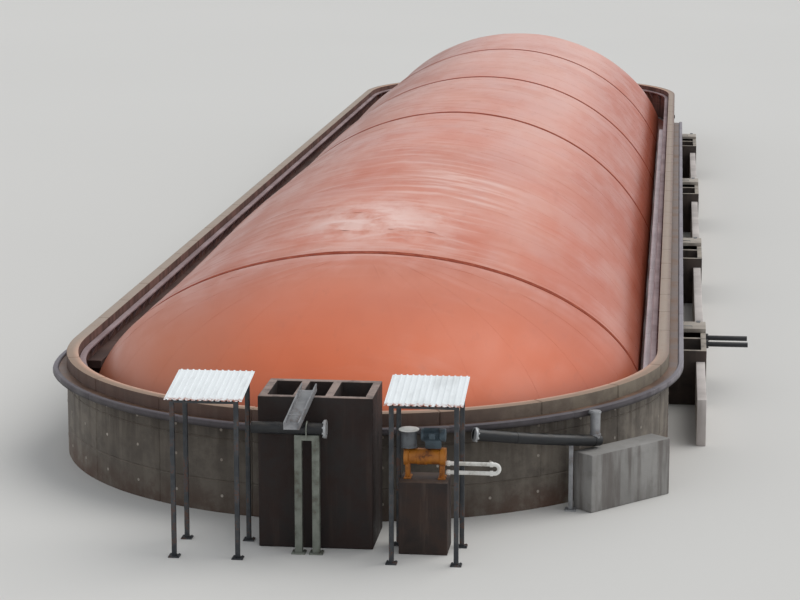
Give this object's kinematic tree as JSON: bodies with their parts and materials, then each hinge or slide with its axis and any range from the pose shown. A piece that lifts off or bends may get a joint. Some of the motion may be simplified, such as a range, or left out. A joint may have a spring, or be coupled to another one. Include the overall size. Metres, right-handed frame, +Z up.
{
  "type": "biogas digester, 1:2 scale model",
  "caption": "Long concrete biogas digester with rounded ends, an inflated membrane roof, a rim gutter, side chambers, a feed box, pump and shelters, as a half-size model.",
  "frame": {"origin": "middle of the tank's plan, on the underside of the tank floor, at the lowest ground", "axes": "+Y along the tank from the feed end to the far end, +X to the side with the chambers, +Z up"},
  "size_m": [8.7575, 39.2, 2.7984],
  "materials": {
    "membrane": "coated fabric, salmon red, weathered",
    "roof_line": "dark woven strap, matt",
    "wall_concrete": "weathered grey concrete",
    "gutter_concrete": "wet and stained grey concrete",
    "pale_concrete": "pale weathered concrete",
    "stained_concrete": "concrete stained dark brown",
    "white_sheet": "white coated steel sheet",
    "dark_steel": "dark painted steel, matt",
    "grey_steel": "grey galvanised steel",
    "black_pipe": "black plastic pipe",
    "pump_paint": "orange-brown paint, weathered",
    "motor_paint": "blue paint",
    "white_plastic": "white plastic"
  },
  "bodies": {
    "root": {"chamber_1": "stained_concrete", "chamber_1_cover": "pale_concrete", "chamber_1_pipe_1": "black_pipe", "chamber_1_pipe_2": "black_pipe", "chamber_2": "stained_concrete", "chamber_2_cover": "pale_concrete", "chamber_3": "stained_concrete", "chamber_3_cover": "pale_concrete", "chamber_4": "stained_concrete", "chamber_4_cover": "pale_concrete", "corner_block": "pale_concrete", "feed_box": "stained_concrete", "feed_channel": "grey_steel", "feed_pipe": "black_pipe", "feed_pipe_trestle": "grey_steel", "gas_pipe": "black_pipe", "gas_pipe_post": "grey_steel", "gas_riser": "grey_steel", "gutter_front": "gutter_concrete", "gutter_front_kerb": "gutter_concrete", "gutter_right": "gutter_concrete", "gutter_right_kerb": "gutter_concrete", "ledge_left": "stained_concrete", "ledge_right": "pale_concrete", "pump_bend_pipe": "white_plastic", "pump_body": "pump_paint", "pump_cover": "white_plastic", "pump_motor": "motor_paint", "pump_plinth": "stained_concrete", "roof_bay_1": "membrane", "roof_bay_2": "membrane", "roof_bay_3": "membrane", "roof_bay_4": "membrane", "roof_front_cap": "membrane", "roof_line_1": "roof_line", "roof_line_2": "roof_line", "roof_line_3": "roof_line", "roof_line_4": "roof_line", "roof_rear_cap": "membrane", "shelter_left_frame": "dark_steel", "shelter_left_roof": "white_sheet", "shelter_right_frame": "dark_steel", "shelter_right_roof": "white_sheet", "side_kerb_1": "pale_concrete", "side_kerb_2": "pale_concrete", "side_kerb_3": "pale_concrete", "side_kerb_4": "pale_concrete", "tank_floor": "wall_concrete", "wall_front_left": "wall_concrete", "wall_front_right": "wall_concrete", "wall_left": "wall_concrete", "wall_rear_left": "wall_concrete", "wall_rear_right": "wall_concrete", "wall_right": "wall_concrete"}
  },
  "joints": []
}
